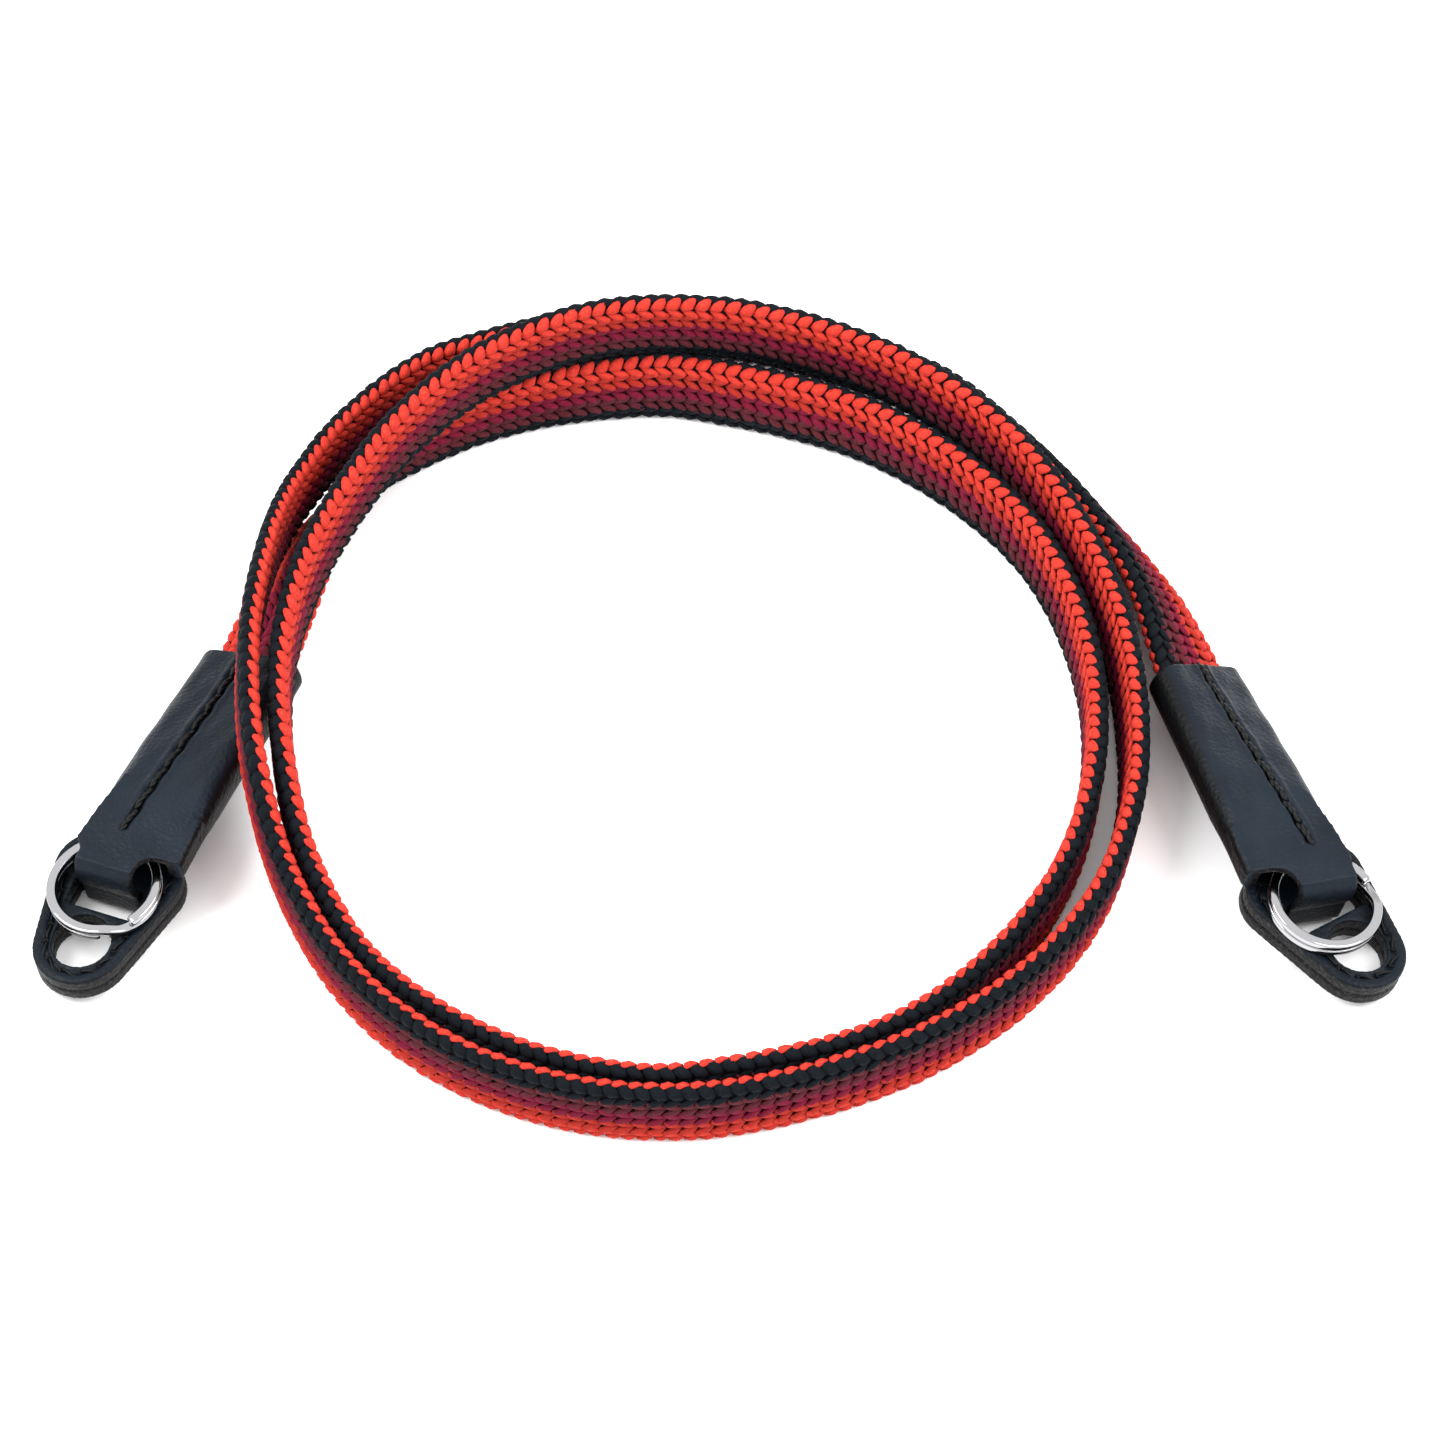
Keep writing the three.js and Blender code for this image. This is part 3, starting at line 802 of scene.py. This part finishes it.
def make_tab(label):
    side, cuts = SIDES[label], TAB_CUTS[label]
    parts = [sleeve_mesh(), tongue_plate(side, cuts), shoulder_mesh(side, cuts), fold_mesh(side)]
    points, normals, faces = melted(*joined(parts), VOXEL)
    x, y, z = points.T
    # the mouth is cut a little askew
    z = z + cuts["skew"] * (y + SLEEVE_HALF_WIDTH) * (1 - smooth_step(z, 0, SKEW_REACH))
    off = y - seam_at(cuts, z)
    on_top = smooth_step(normals[:, 0], 0.4, 0.8) * (x > 1.2) * smooth_step(SEAM_END - z, -0.2, 0.8)
    x = x - on_top * seam_relief(off, z)
    # leather is a little uneven
    wave = 0.05 * np.sin(0.9 * z + 0.5 * y) + 0.04 * np.sin(1.7 * y - 0.6 * z + 1.3)
    x = x + wave * (normals[:, 0] > 0) * smooth_step(z, 0, 3)
    shaped = np.column_stack([x, y, z])
    piece = make_mesh(f"leather_tab_{label}", bent(side, shaped), faces, leather)
    # painted shade on the side walls, underside and fold
    set_weight(piece, "painted_shade", painted_shade_weight(shaped, normals))
    seam_cut = on_top * np.exp(-(off / CUT_WIDTH)**2)
    set_weight(piece, "raw", raw_weight(side, shaped, normals, seam_cut))
    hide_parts(f"tab_{label}")


THREAD_SIDES = 6
THREAD_TIP = 0.5


def tube(line, radius):
    """Vertices and faces of a thin round cord along a line of points, with tapered ends."""
    line = np.asarray(line, float)
    along = unit(np.gradient(line, axis=0))
    side = unit(np.cross(along, (0.31, 0.22, 0.92)))
    other = np.cross(along, side)
    sections = []
    for i, place in enumerate(line):
        reach = radius * (THREAD_TIP if i in (0, len(line) - 1) else 1)
        angles = 2 * math.pi * np.arange(THREAD_SIDES)[:, None] / THREAD_SIDES
        sections.append(place + reach * (np.cos(angles) * side[i] + np.sin(angles) * other[i]))
    return loft(sections)


# thread in the tab's seam: radius of a ply, how far the plies lie apart, twist in turns for each stitch, how
# far a stitch slants and rises out of the slit, and how deep it starts
PLY_RADIUS = 0.3
PLY_RISE = 0.13
PLY_ASIDE = 0.15
PLY_TURNS = 1.6
STITCH_SLANT = 0.42
STITCH_RISE = 0.42
STITCH_SINK = 0.34


def make_seam_thread(label):
    """Thick waxed thread of two plies, lying in the slit of the seam and turning from hole to hole."""
    side, cuts = SIDES[label], TAB_CUTS[label]
    parts = []
    stitches = int(SEAM_END / STITCH_LENGTH)
    t = np.linspace(0, 1, 15)
    for i in range(stitches):
        z = SEAM_START + i * STITCH_LENGTH - 0.15 + t * (STITCH_LENGTH + 0.1)
        middle = seam_at(cuts, z) - side["hand"] * STITCH_SLANT * (t - 0.5)
        rise = SLEEVE_HALF_THICK - STITCH_SINK + STITCH_RISE * np.sin(math.pi * t)
        for ply in (0, math.pi):
            twist = 2 * math.pi * PLY_TURNS * t + ply
            line = np.column_stack([rise + PLY_RISE * np.cos(twist), middle + PLY_ASIDE * np.sin(twist), z])
            parts.append(tube(bent(side, line), PLY_RADIUS))
    vertices, faces = joined(parts)
    piece = make_mesh(f"seam_thread_{label}", vertices, faces, thread)


# Protector pads. They are drawn flat, with the slot at the origin, x away from the tab and z up.
NEAR_RADIUS = 5.5
NEAR_PLACE = (-4.1, 3.5)
FAR_RADIUS = 6.4
FAR_PLACE = 7.5
SLOT_HALF_ACROSS = 2.25
SLOT_HALF_LENGTH = {"left": 4.9, "right": 6.0}
HOLE_RADIUS = 4.0
HOLE_PLACE = 7.2
STITCH_INSET = 1.8
STITCH_GAP = 2.75
PAD_VOXEL = 0.24
# relief of a pad: channel of the stitches, a dent at each hole, puffed border, groove between the layers
CHANNEL_WIDTH = 0.38
CHANNEL_DEPTH = 0.34
DENT_WIDTH = 0.5
DENT_DEPTH = 0.22
PUFF_HEIGHT = 0.10
LAYER_GROOVE_WIDTH = 0.2
LAYER_GROOVE_DEPTH = 0.22


def arc(centre, radius, start, end, steps):
    angles = np.linspace(start, end, steps)
    return [(centre[0] + radius * math.cos(a), centre[1] + radius * math.sin(a)) for a in angles]


def pad_outline(inset=0.0):
    near_x, near_y = NEAR_PLACE
    reach = math.hypot(FAR_PLACE - near_x, near_y)
    flank = math.atan2(-near_y, FAR_PLACE - near_x) + math.acos((NEAR_RADIUS - FAR_RADIUS) / reach)
    return (arc((FAR_PLACE, 0), FAR_RADIUS - inset, -flank, flank, 28)
            + arc((near_x, near_y), NEAR_RADIUS - inset, flank, math.pi, 20)
            + arc((near_x, -near_y), NEAR_RADIUS - inset, math.pi, 2 * math.pi - flank, 20))


def plate_with_holes(outlines, low, high):
    """Closed plate from an outline and its holes."""
    flat = [point for outline in outlines for point in outline]
    count = len(flat)
    caps = tessellate_polygon([[Vector((*point, 0)) for point in outline] for outline in outlines])
    vertices = np.array([(*point, z) for z in (low, high) for point in flat])
    faces = [[c, b, a] for a, b, c in caps] + [[count + a, count + b, count + c] for a, b, c in caps]
    base = 0
    for outline in outlines:
        n = len(outline)
        for i in range(n):
            a, b = base + i, base + (i + 1) % n
            faces.append([a, b, count + b, count + a])
        base += n
    return vertices, faces


def end_matrix(label):
    """Directions and place of a tab's end: x along the tongue, z out of its face."""
    side = SIDES[label]
    points, along, out, across = tab_frame(side, FOLD_AT)
    origin = points[0] - across[0] * side["hand"] * side["shift"]
    return origin, np.stack([along[0], -across[0], out[0]])


def pad_to_world(label, points):
    side = SIDES[label]
    forward, sideways, yaw = side["pad"]
    turn = math.radians(side["hand"] * yaw)
    x = points[:, 0] * math.cos(turn) - points[:, 1] * math.sin(turn) + forward
    y = points[:, 0] * math.sin(turn) + points[:, 1] * math.cos(turn) + side["hand"] * sideways
    origin, axes = end_matrix(label)
    return origin + np.column_stack([x, y, points[:, 2]]) @ axes


def distance_to(outline, points):
    """Least distance from points in the plane to a closed outline."""
    a = np.array(outline)
    b = np.roll(a, -1, axis=0)
    best = np.full(len(points), 1e9)
    for start, end in zip(a, b):
        edge = end - start
        t = np.clip(((points - start) @ edge) / max(edge @ edge, 1e-9), 0, 1)
        best = np.minimum(best, np.linalg.norm(points - start - t[:, None] * edge, axis=1))
    return best


def even_points(outline, gap):
    """Points along a closed outline at even distances, with their directions."""
    closed = np.array(outline + outline[:1])
    knots = np.concatenate([[0], np.cumsum(np.linalg.norm(np.diff(closed, axis=0), axis=1))])
    count = round(knots[-1] / gap)
    at = np.arange(count) * knots[-1] / count
    place = np.column_stack([np.interp(at, knots, closed[:, i]) for i in (0, 1)])
    ahead = np.column_stack([np.interp((at + 0.2) % knots[-1], knots, closed[:, i]) for i in (0, 1)])
    return place, unit(ahead - place), knots[-1] / count


def pad_relief(flat, edge):
    """Height of a pad's face over its flat one, at places whose distance to the outline is given."""
    channel = np.exp(-((edge - STITCH_INSET) / CHANNEL_WIDTH)**2) * CHANNEL_DEPTH
    puff = PUFF_HEIGHT * np.sin(math.pi * np.clip(edge / STITCH_INSET, 0, 1))
    holes, _, _ = even_points(pad_outline(STITCH_INSET), STITCH_GAP)
    to_hole = np.min(np.linalg.norm(flat[:, None] - holes[None], axis=2), axis=1)
    dents = DENT_DEPTH * np.exp(-(to_hole / DENT_WIDTH)**2)
    return puff - channel - dents + 0.04 * np.sin(0.8 * flat[:, 0] + 0.6 * flat[:, 1])


def make_pad(label):
    outline = pad_outline()
    sx, sy = SLOT_HALF_ACROSS, SLOT_HALF_LENGTH[label]
    slot = [(sx, -sy), (sx, sy), (-sx, sy), (-sx, -sy)]
    hole = arc((HOLE_PLACE, 0), HOLE_RADIUS, 2 * math.pi, 2 * math.pi / 40, 40)
    vertices, faces = plate_with_holes([outline, slot[::-1], hole], PAD_TOP - PAD_THICK, PAD_TOP)
    points, normals, faces = melted(vertices, faces, PAD_VOXEL)
    flat = points[:, :2]
    x, y, z = points.T
    upper = smooth_step(normals[:, 2], 0.3, 0.8)
    lower = smooth_step(-normals[:, 2], 0.3, 0.8)
    z = z + (upper - lower) * pad_relief(flat, distance_to(outline, flat))
    # the two layers meet in a fine groove round the raw edge
    wall = (1 - upper) * (1 - lower)
    middle = np.exp(-((z - (PAD_TOP - PAD_THICK / 2)) / LAYER_GROOVE_WIDTH)**2)
    rough = 0.05 * np.sin(9 * x + 3 * z) * np.sin(8 * y - 5 * z)
    push = wall * (LAYER_GROOVE_DEPTH * middle + rough)
    shaped = np.column_stack([x - normals[:, 0] * push, y - normals[:, 1] * push, z])
    piece = make_mesh(f"leather_pad_{label}", pad_to_world(label, shaped), faces, pad_leather)
    set_weight(piece, "raw", wall)
    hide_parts(f"pad_{label}")


PAD_THREAD_RADIUS = 0.19
PAD_TICK_RADIUS = 0.13
PAD_THREAD_SINK = 0.18


def make_pad_thread(label):
    """Saddle stitches: a sunken thread from hole to hole with a small V at each hole, on both faces."""
    holes, along, gap = even_points(pad_outline(STITCH_INSET), STITCH_GAP)
    t = np.linspace(0, 1, 9)[:, None]
    parts = []
    for face, level in ((1, PAD_TOP - PAD_THREAD_SINK), (-1, PAD_TOP - PAD_THICK + PAD_THREAD_SINK)):
        for place, forward in zip(holes, along):
            aside = np.array([-forward[1], forward[0]])
            run = place + forward * gap * (0.06 + 0.88 * t) + aside * 0.1 * np.sin(2 * math.pi * t)
            rise = level + face * 0.16 * np.sin(math.pi * t)
            parts.append(tube(pad_to_world(label, np.column_stack([run, rise])), PAD_THREAD_RADIUS))
            for turn in (-1, 1):
                tick = place + forward * (0.42 * t - 0.1) + aside * turn * 0.4 * t
                rise = level + face * (0.14 - 0.16 * t)
                parts.append(tube(pad_to_world(label, np.column_stack([tick, rise])), PAD_TICK_RADIUS))
    vertices, faces = joined(parts)
    piece = make_mesh(f"pad_thread_{label}", vertices, faces, thread)


# Split rings: a flat polished wire wound nearly two turns
RING_RADIUS = 7.7
WIRE_RADIAL = 1.3
WIRE_AXIAL = 0.95
WIRE_PITCH = 1.05
WIRE_DEGREES = 686
WIRE_STEPS = 240
WIRE_ROUNDING = 0.24
WIRE_END_SIZE = 0.72
CROSS_FROM = 328
CROSS_TO = 358
RING_FORWARD = 1.25
RING_GAP = 0.3


def make_ring(label):
    side = SIDES[label]
    section_points = rounded_section(WIRE_RADIAL / 2, WIRE_AXIAL / 2, WIRE_ROUNDING, 5)
    origin, axes = end_matrix(label)
    start = math.radians(side["ring_turn"])
    sections = []
    for i in range(WIRE_STEPS + 1):
        degrees = WIRE_DEGREES * i / WIRE_STEPS
        size = WIRE_END_SIZE if i in (0, WIRE_STEPS) else 1
        radius = RING_RADIUS - WIRE_RADIAL / 2 + section_points[:, 0] * size
        level = WIRE_AXIAL / 2 + WIRE_PITCH * smooth_step(degrees, CROSS_FROM, CROSS_TO)
        angle = start - math.radians(degrees)
        local = np.column_stack([
            radius * math.cos(angle) + RING_FORWARD, radius * math.sin(angle),
            PAD_TOP + RING_GAP + level + section_points[:, 1] * size])
        sections.append(origin + local @ axes)
    vertices, faces = loft(sections)
    piece = make_mesh(f"split_ring_{label}", vertices, faces, nickel, body=f"ring_{label}")
    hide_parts(f"ring_{label}")


leather = leather_material("tab_leather", (0.0040, 0.0070, 0.0115), (0.0070, 0.0115, 0.0175))
pad_leather = leather_material("pad_leather", (0.0015, 0.0035, 0.006), (0.003, 0.006, 0.010))
thread, _, _ = new_material("waxed_thread", (0.001, 0.0012, 0.0015), 0.45, Specular_IOR_Level=0.16)
nickel, _, _ = new_material("nickel", (0.34, 0.34, 0.35), 0.10, 1.0)
for label in SIDES:
    make_tab(label)
    make_seam_thread(label)
    make_pad(label)
    make_pad_thread(label)
    make_ring(label)

# Floor, light and camera
FLOOR_HALF = 3000
SKY_LOW = 0.9
SKY_HIGH = 1.7
SKY_FULL_AT = 0.6
# name, place, size, power
LAMPS = [
    ("key", (-0.6, 0.0, 0.8), 0.6, 10),
    ("fill", (0.6, -0.1, 0.75), 0.6, 8),
]


def make_floor():
    corners = [(x * FLOOR_HALF, y * FLOOR_HALF, 0) for x, y in ((-1, -1), (1, -1), (1, 1), (-1, 1))]
    material, _, _ = new_material("floor", (0.93, 0.93, 0.93), 0.9, Specular_IOR_Level=0.0)
    floor = make_mesh("floor", corners, [[0, 1, 2, 3]], material, body=None, smooth=False)


def area_light(name, place, size, power):
    lamp = bpy.data.lights.new(name, "AREA")
    lamp.shape = "DISK"
    lamp.size = size
    lamp.energy = power
    light = bpy.data.objects.new(name, lamp)
    light.location = place
    light.rotation_euler = (Vector((0, 0, 0)) - Vector(place)).to_track_quat("-Z", "Y").to_euler()
    bpy.context.scene.collection.objects.link(light)


def make_studio():
    """White sky that is brighter overhead, and two soft lamps."""
    world = bpy.data.worlds.new("studio")
    world.use_nodes = True
    tree = world.node_tree
    background = tree.nodes["Background"]
    background.inputs["Color"].default_value = (1, 1, 1, 1)
    place = add_node(tree, "ShaderNodeTexCoord")
    split = add_node(tree, "ShaderNodeSeparateXYZ", {"Vector": place.outputs["Generated"]})
    sky = spread(tree, split.outputs["Z"], 0.0, SKY_FULL_AT, SKY_LOW, SKY_HIGH)
    tree.links.new(sky, background.inputs["Strength"])
    bpy.context.scene.world = world
    for lamp in LAMPS:
        area_light(*lamp)


def make_camera():
    data = bpy.data.cameras.new("camera")
    data.lens = CAMERA_LENS
    data.sensor_width = CAMERA_SENSOR
    data.clip_end = 10
    camera = bpy.data.objects.new("camera", data)
    down = math.radians(CAMERA_DOWN)
    target = Vector(CAMERA_TARGET) * MM
    camera.location = target + Vector((0, -math.cos(down), math.sin(down))) * CAMERA_DISTANCE * MM
    camera.rotation_euler = (math.radians(90) - down, 0, 0)
    bpy.context.scene.collection.objects.link(camera)
    bpy.context.scene.camera = camera


make_floor()
make_studio()
make_camera()
bpy.context.scene.view_settings.view_transform = "Standard"
